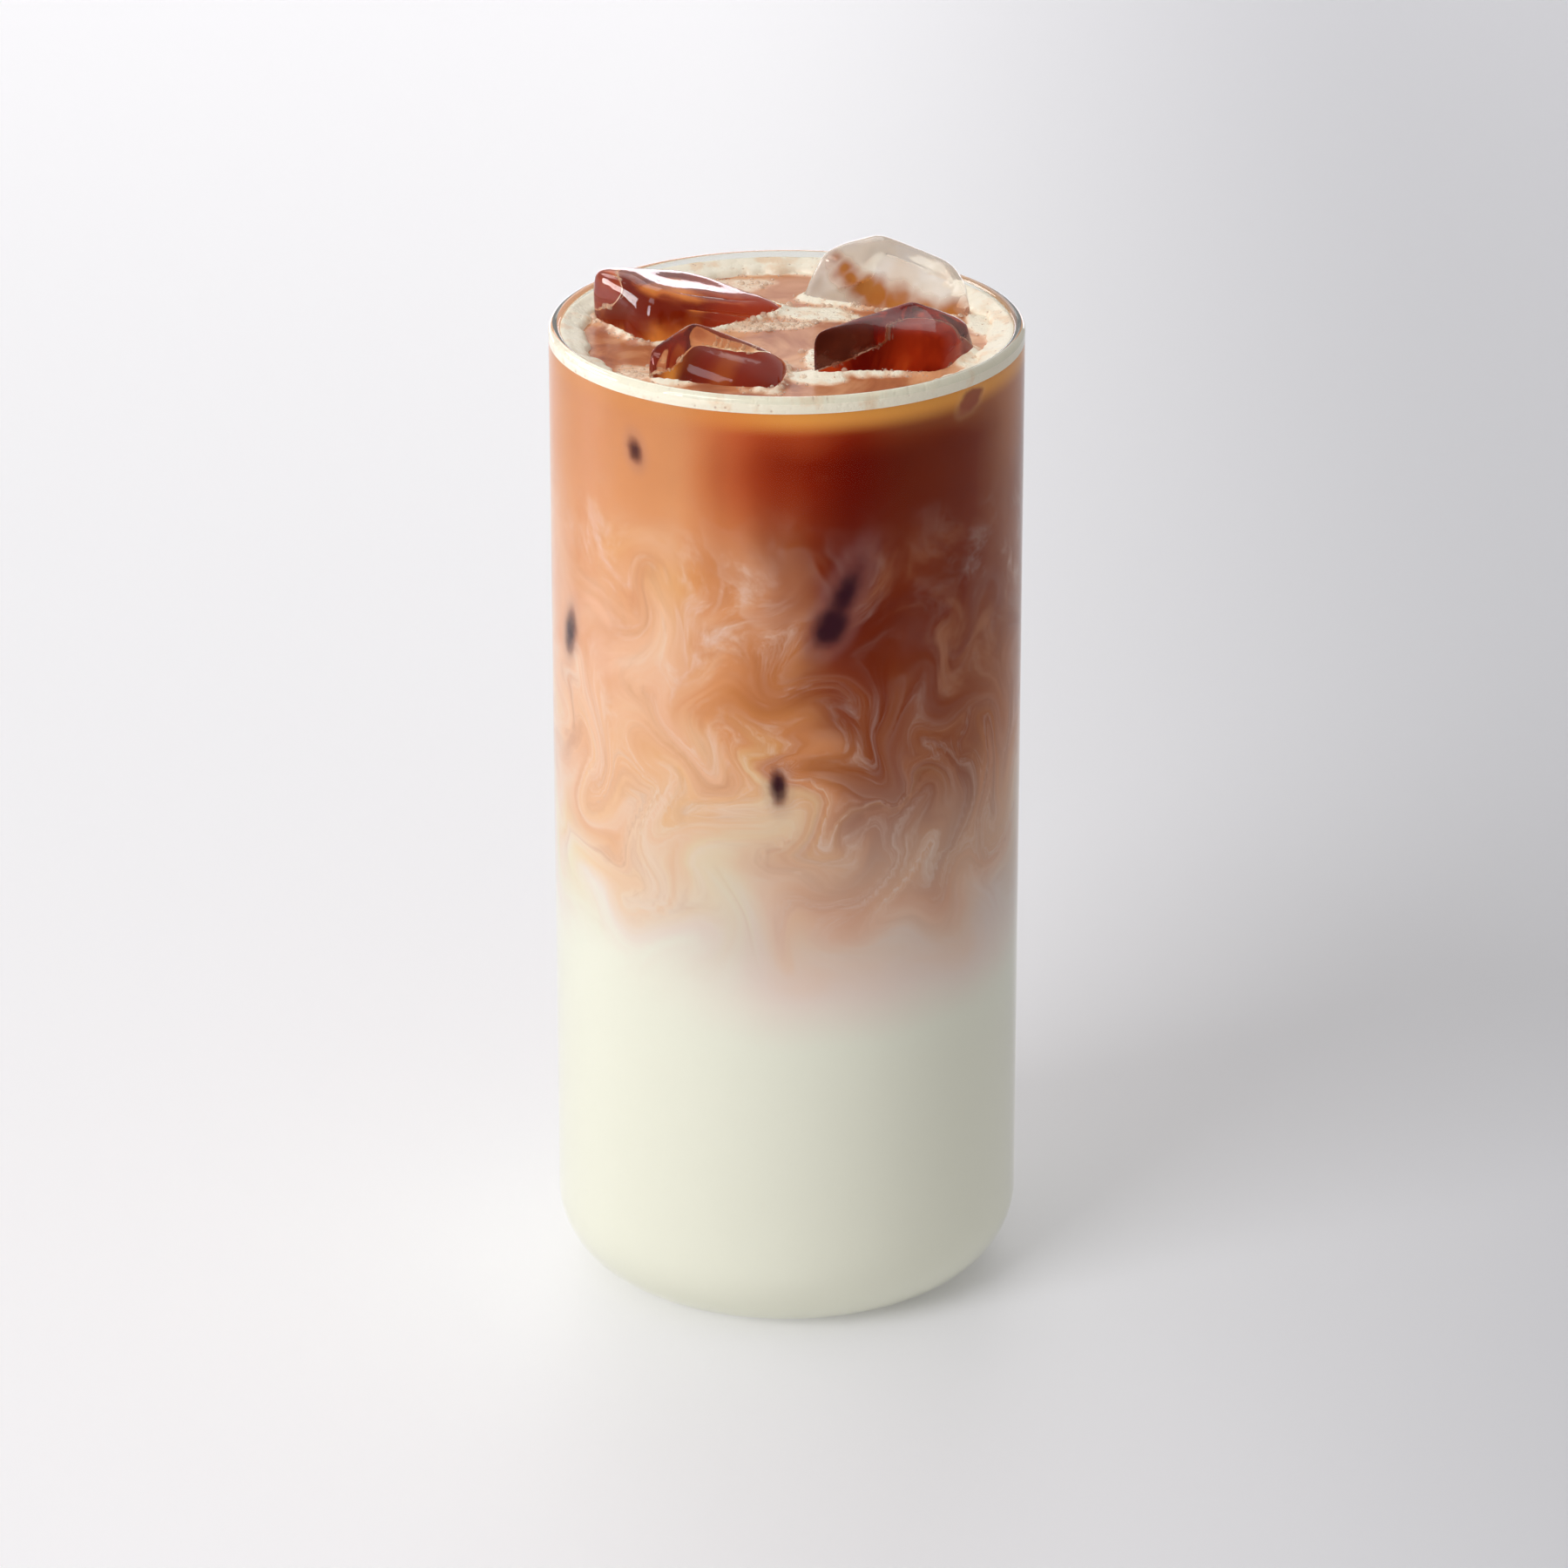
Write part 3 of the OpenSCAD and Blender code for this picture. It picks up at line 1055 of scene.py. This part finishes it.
# %% Froth and top
def froth_shade(tree, place):
    """Cream with fine bubbles: its colour and its height."""
    cells = tree.add("ShaderNodeTexVoronoi", {"Vector": place, "Scale": 1900.0}, "Distance")
    large = tree.add("ShaderNodeTexVoronoi", {"Vector": place, "Scale": 800.0}, "Distance")
    patch = tree.noise(place, 260, 3, 0.55)
    colour = tree.mix(tree.fade(patch, 0.50, 0.72, 0, 0.8), (1.0, 0.91, 0.74), (0.90, 0.64, 0.42))
    holes = tree.times(tree.fade(large, 0.22, 0.05), tree.fade(patch, 0.40, 0.62), 0.55)
    colour = tree.mix(holes, colour, (0.42, 0.20, 0.11))
    height = tree.math("MULTIPLY_ADD", tree.fade(large, 0.0, 0.5), 0.6,
                       tree.times(tree.fade(cells, 0, 0.5), 0.4))
    return colour, height


TOP_STOPS = [(0.30, (0.30, 0.070, 0.024)), (0.44, (0.52, 0.165, 0.060)),
             (0.58, (0.74, 0.330, 0.150)), (0.72, (0.88, 0.500, 0.290))]
FILM_TINT = (0.90, 0.60, 0.40)
tree = new_material("latte_top")[1]
place = tree.place()
flat = tree.vector_math("MULTIPLY", place, (1, 1, 0))
colour = tree.ramp(tree.noise(flat, 75, 4, 0.55, 1.2), TOP_STOPS)
cream, bubbles_height = froth_shade(tree, place)
ragged = tree.math("SUBTRACT", tree.noise(flat, 520, 4, 0.62), 0.5)
foam = tree.math("MULTIPLY_ADD", ragged, 0.62, tree.number("foam"))
covered = tree.fade(foam, 0.42, 0.86)
colour = tree.mix(tree.times(tree.fade(foam, 0.12, 0.60), 0.85), colour, FILM_TINT)
colour = tree.mix(covered, colour, cream)
waves = tree.times(tree.noise(flat, 130, 2, 0.5), 1.2)
height = tree.math("ADD", tree.times(bubbles_height, covered), waves)
bump = tree.add("ShaderNodeBump", {"Strength": 0.5, "Distance": 0.25 * MM, "Height": height})
gloss = tree.fade(covered, 0, 1, 0.24, 0.42)
tree.finish(tree.principled({"Base Color": colour, "Roughness": gloss, "IOR": 1.33,
                             "Normal": bump}))

# %% Froth ring and bubble film
cream_material, tree = new_material("froth_cream")
cream, height = froth_shade(tree, tree.place())
bump = tree.add("ShaderNodeBump", {"Strength": 0.45, "Distance": 0.2 * MM, "Height": height})
tree.finish(tree.principled({"Base Color": cream, "Roughness": 0.4, "Normal": bump}))
froth.data.materials.append(cream_material)
film, tree = new_material("bubble_film")
tree.finish(tree.principled({"Base Color": (0.86, 0.66, 0.50, 1), "Roughness": 0.05, "Alpha": 0.42,
                             "Coat Weight": 0.6}))
bubbles.data.materials.append(film)
only(bubbles)
froth.select_set(True)
bpy.context.view_layer.objects.active = froth
bpy.ops.object.join()
print("froth ring and bubbles:", len(froth.data.polygons), "faces")

# %% [markdown]
# ### Pockets
# What shows through a cube is the coffee it floats in. Each pocket is dark coffee with a few
# places where light comes through and glows amber: that light is scattered in the liquid,
# which a surface can't do, so it is a weak emission. The back cube floats in froth, so its
# pocket is cream with a caramel streak.

# %% Pocket colours
AMBER, ROSE, CARAMEL = (1.0, 0.48, 0.09), (0.95, 0.60, 0.40), (0.60, 0.20, 0.030)
CREAM_LIGHT = (0.95, 0.90, 0.84)
POCKETS = {  # deep, mid and light colour, glow's strength; glows: x, y, up, radius in mm, colour
    "left": ((0.38, 0.050, 0.014), (0.78, 0.250, 0.075), AMBER, 0.42,
             [(-12, 5, -3, 5.5, AMBER), (-27, 3, -2, 9, ROSE), (-5, 10, -2, 5, AMBER),
              (-18, 18, -8, 6, AMBER)]),
    "back": ((0.82, 0.66, 0.50), (0.93, 0.88, 0.81), CREAM_LIGHT, 0.42,
             [(9, 17, -1, 4.5, CARAMEL), (12, 15, -6, 5, CARAMEL), (14, 12, -9, 5, CARAMEL)]),
    "front": ((0.36, 0.036, 0.008), (0.80, 0.220, 0.034), AMBER, 0.42,
              [(-14, -17, -1, 5.5, AMBER), (-10, -16, -3, 5, AMBER), (-18, -20, -4, 5, ROSE)]),
    "right": ((0.42, 0.032, 0.010), (1.0, 0.200, 0.040), AMBER, 1.3,
              [(9, -17, -3, 4, AMBER), (19, -15, -4, 4, ROSE)]),
}
GLOW_CORE, STREAK_CORE = 0.25, 0.2  # share of a spot's radius


def pocket_material(name, deep, mid, pale, strength, glows):
    tree = new_material("pocket_" + name)[1]
    place = tree.place()
    murk = tree.noise(place, 85, 3, 0.5, 0.8)
    colour = tree.mix(tree.fade(murk, 0.40, 0.62), deep, mid)
    light = tree.fade(murk, 0.60, 0.80, 0, 0.6)
    colour = tree.mix(light, colour, pale)
    wobble = tree.math("MULTIPLY_ADD", tree.noise(place, 220, 2, 0.5), 3 * MM, -1.5 * MM)
    for *ball, glow in glows:
        here = tree.spot(place, wobble, *ball, GLOW_CORE)
        colour = tree.mix(here, colour, glow)
        light = tree.math("MAXIMUM", light, here)
    lit = tree.mix(tree.math("ADD", tree.times(light, 0.9), 0.1), (0, 0, 0), colour)
    tree.finish(tree.principled({
        "Base Color": colour, "Roughness": 0.5, "Specular IOR Level": 0.0, "Emission Color": lit,
        "Emission Strength": strength}))


for name, settings in POCKETS.items():
    pocket_material(name, *settings)

# %% [markdown]
# ### Glass and ice
# Both are clear and bend what is behind them. Light has to reach the drink through them: a
# Light Path node lets lamps and soft bounces go straight through, and the camera still sees
# true refraction. The lip is a little greener than the wall, since one looks far into it.

# %% Clear materials
GLASS_IOR, ICE_IOR = 1.47, 1.31


def clear_material(name, tint, ior, settings, colour=None, normal=None, seen_as=None):
    """Glass or ice: tint for the light that passes, and a colour of its own if one is given."""
    material, tree = new_material(name)
    inputs = {"Base Color": colour(tree) if colour else (*(seen_as or tint), 1), "IOR": ior,
              "Transmission Weight": 1.0, **settings}
    if normal:
        inputs["Normal"] = normal(tree)
    shader = tree.principled(inputs)
    clear = tree.add("ShaderNodeBsdfTransparent", {"Color": (*tint, 1)})
    path = tree.tree.nodes.new("ShaderNodeLightPath")
    through = tree.math("MAXIMUM", path.outputs["Is Shadow Ray"], path.outputs["Is Diffuse Ray"])
    tree.finish(tree.add("ShaderNodeMixShader", {0: through, 1: shader, 2: clear}))
    return material


LIP_H = 1.1 * MM
wall_look = {"Roughness": 0.0, "Specular Tint": (0.12, 0.12, 0.12, 1)}
lip_look = {"Roughness": 0.03, "Transmission Weight": 0.86}
glass.data.materials.append(clear_material("clear_glass", (0.985, 0.988, 0.985), GLASS_IOR,
                                           wall_look))
glass.data.materials.append(clear_material("glass_lip", (0.95, 0.97, 0.95), GLASS_IOR, lip_look,
                                           seen_as=(0.90, 0.91, 0.82)))
for face in glass.data.polygons:
    face.material_index = int(face.center.z > GLASS_H - LIP_H)

# %% [markdown]
# Melting ice is never quite smooth, so a slow bump wavers its reflections. The back cube is
# white with a caramel streak where coffee has run into a crack: a row of spots, by place.

# %% Ice
STREAK = [  # x, y, up from the level, radius, in mm
    (7.3, 15.2, 7.6, 2.8), (8.6, 14.6, 6.2, 3.0), (9.8, 14.1, 4.8, 3.0), (11.2, 13.6, 3.3, 3.0),
    (13.0, 13.2, 1.8, 3.6), (16.5, 12.3, 0.8, 4.2), (20.5, 11.0, 0.4, 4.2), (24.0, 9.5, 0.0, 4.0)]


def melt_bump(tree):
    place = tree.place()
    height = tree.math("MULTIPLY_ADD", tree.noise(place, 420, 2, 0.5), 0.25,
                       tree.noise(place, 150, 2, 0.5))
    return tree.add("ShaderNodeBump", {"Strength": 0.35, "Distance": 0.5 * MM, "Height": height})


def cloudy_tint(tree):
    """White ice with its caramel streak."""
    place = tree.place()
    wobble = tree.math("MULTIPLY_ADD", tree.noise(place, 120, 3, 0.55), 7 * MM, -3.5 * MM)
    streak = tree.spot(place, wobble, *STREAK[0], STREAK_CORE)
    for ball in STREAK[1:]:
        streak = tree.math("MAXIMUM", streak, tree.spot(place, wobble, *ball, STREAK_CORE))
    patch = tree.fade(tree.noise(tree.shifted(place, 0.4), 110, 3, 0.5), 0.42, 0.66)
    white = tree.mix(patch, (0.985, 0.975, 0.97), (0.95, 0.89, 0.81))
    return tree.mix(streak, white, (0.42, 0.10, 0.010))


CLEAR_ICE = (0.99, 0.98, 0.97)
ICE_LOOKS = {
    "ice_left": {"seen_as": (0.99, 0.84, 0.72), "settings": {"Roughness": 0.03}},
    "ice_back": {"colour": cloudy_tint,
                 "settings": {"Roughness": 0.03, "Transmission Weight": 0.72}},
    "ice_front": {"seen_as": (0.98, 0.76, 0.55), "settings": {"Roughness": 0.02}},
    "ice_right": {"seen_as": (0.12, 0.036, 0.024),
                  "settings": {"Roughness": 0.02, "Specular Tint": (0.15, 0.15, 0.15, 1)}},
}
for cube, (name, look) in zip(ice, ICE_LOOKS.items()):
    cube.data.materials.append(clear_material("wet_" + name, CLEAR_ICE, ICE_IOR,
                                              normal=melt_bump, **look))

# %% [markdown]
# ## Floor and light
# A pale floor, with painted shade and light on it: it is painted darker towards the right, where
# the key light falls off and the glass's shadow lies, and a weak painted glow lifts its left side,
# more towards the back. One large soft light from the left, a weak one behind, and a bright room
# all round. Wet ice and glass show what surrounds them: the room is brightest behind and on
# the left, so that the cubes' upper faces pick up white, and dimmer on the right.

# %% Floor
def model_floor():
    bpy.ops.object.select_all(action="DESELECT")
    bpy.ops.mesh.primitive_circle_add(vertices=96, radius=4.0, fill_type="NGON")
    floor = bpy.context.object
    floor.name = "studio_floor"
    material, tree = new_material("studio_floor")
    place = tree.place()
    aside, behind = tree.axis(place, "X"), tree.axis(place, "Y")
    # Painted shade: the floor is darker towards the right, where the key light falls off and the
    # glass's shadow lies.
    colour = tree.mix(tree.fade(aside, -0.04, 0.15), (0.95, 0.945, 0.975), (0.66, 0.665, 0.70))
    # Painted light: a weak emission on the floor's left side, stronger further back.
    glow = tree.times(tree.fade(aside, -0.02, 0.17, 1, 0), tree.fade(behind, 0, 0.7, 0.03, 0.10))
    tree.finish(tree.principled({
        "Base Color": colour, "Roughness": 0.5, "Specular IOR Level": 0.3,
        "Emission Color": (1, 1, 1, 1), "Emission Strength": glow}))
    floor.data.materials.append(material)


model_floor()

# %% [markdown]
# Two lamps light the set. The other four only show as reflections in ice and glass, as white
# cards beside a set do.

# %% Light
CARD_WHITE = (0.94, 0.92, 1.0)
LAMPS = [  # name, place, width and height, power, colour, target, and if it is a card
    ("key_left", (-0.84, -0.82, 0.98), (0.75, 0.75), 9.6, (0.99, 0.99, 1.0), (0, 0, 0.08), False),
    ("back_wall", (-0.10, 1.25, 0.90), (0.7, 0.7), 1.6, (1, 1, 1), (0, 0.45, 0), False),
    ("window_left", (-0.97, 0.72, 0.88), (0.55, 0.55), 7, (1, 1, 1), (0, 0, 0.15), True),
    ("low_window", (-1.20, 0.22, 0.25), (0.60, 0.36), 13, (1, 1, 1), (0, 0, 0.15), True),
    ("front_window", (-1.00, -0.72, 0.24), (0.22, 0.22), 3, (1, 1, 1), (0, 0, 0.15), True),
    ("back_strip", (-0.15, 1.30, 0.14), (1.5, 0.30), 3.4, CARD_WHITE, (0, 0, 0.08), True),
]


def hang_lamp(name, place, size, power, colour, target, card):
    data = bpy.data.lights.new(name, "AREA")
    data.shape = "RECTANGLE" if card else "SQUARE"
    data.size, data.size_y = size
    data.energy = power
    data.color = colour
    lamp = bpy.data.objects.new(name, data)
    lamp.location = place
    towards = Vector(target) - Vector(place)
    lamp.rotation_euler = towards.to_track_quat("-Z", "Y").to_euler()
    bpy.context.scene.collection.objects.link(lamp)
    if card:
        lamp.visible_camera = lamp.visible_transmission = lamp.visible_diffuse = False


for lamp in LAMPS:
    hang_lamp(*lamp)
world = bpy.data.worlds.new("studio")
bpy.context.scene.world = world
world.use_nodes = True
tree = Tree(world.node_tree)
background = world.node_tree.nodes["Background"]
direction = tree.add("ShaderNodeTexCoord", output="Generated")
facing = tree.vector_math("DOT_PRODUCT", direction, (-0.55, 0.70, 0.35), "Value")
world.node_tree.links.new(tree.fade(facing, -0.9, 0.9, 0.30, 0.68), background.inputs[1])
background.inputs[0].default_value = (1.0, 0.985, 0.965, 1)
bpy.context.scene.view_settings.view_transform = "Standard"
print("lamps:", [lamp.name for lamp in bpy.data.lights])

# %% [markdown]
# ## Riding on the CAD body
# Every piece rides on the CAD body, and the CAD nodes it stands for are hidden.

# %% Ride on the CAD body and hide the CAD nodes
for piece, slot, nodes in ((glass, "clear_glass", ["glass"]),
                           (drink, "coffee", ["milk", "marbled", "coffee"]),
                           (froth, "froth", ["froth"])):
    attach(piece, "root")
    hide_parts(*nodes)
for cube, node in zip(ice, ICE_CORNERS):
    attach(cube, "root")
    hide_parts(node)
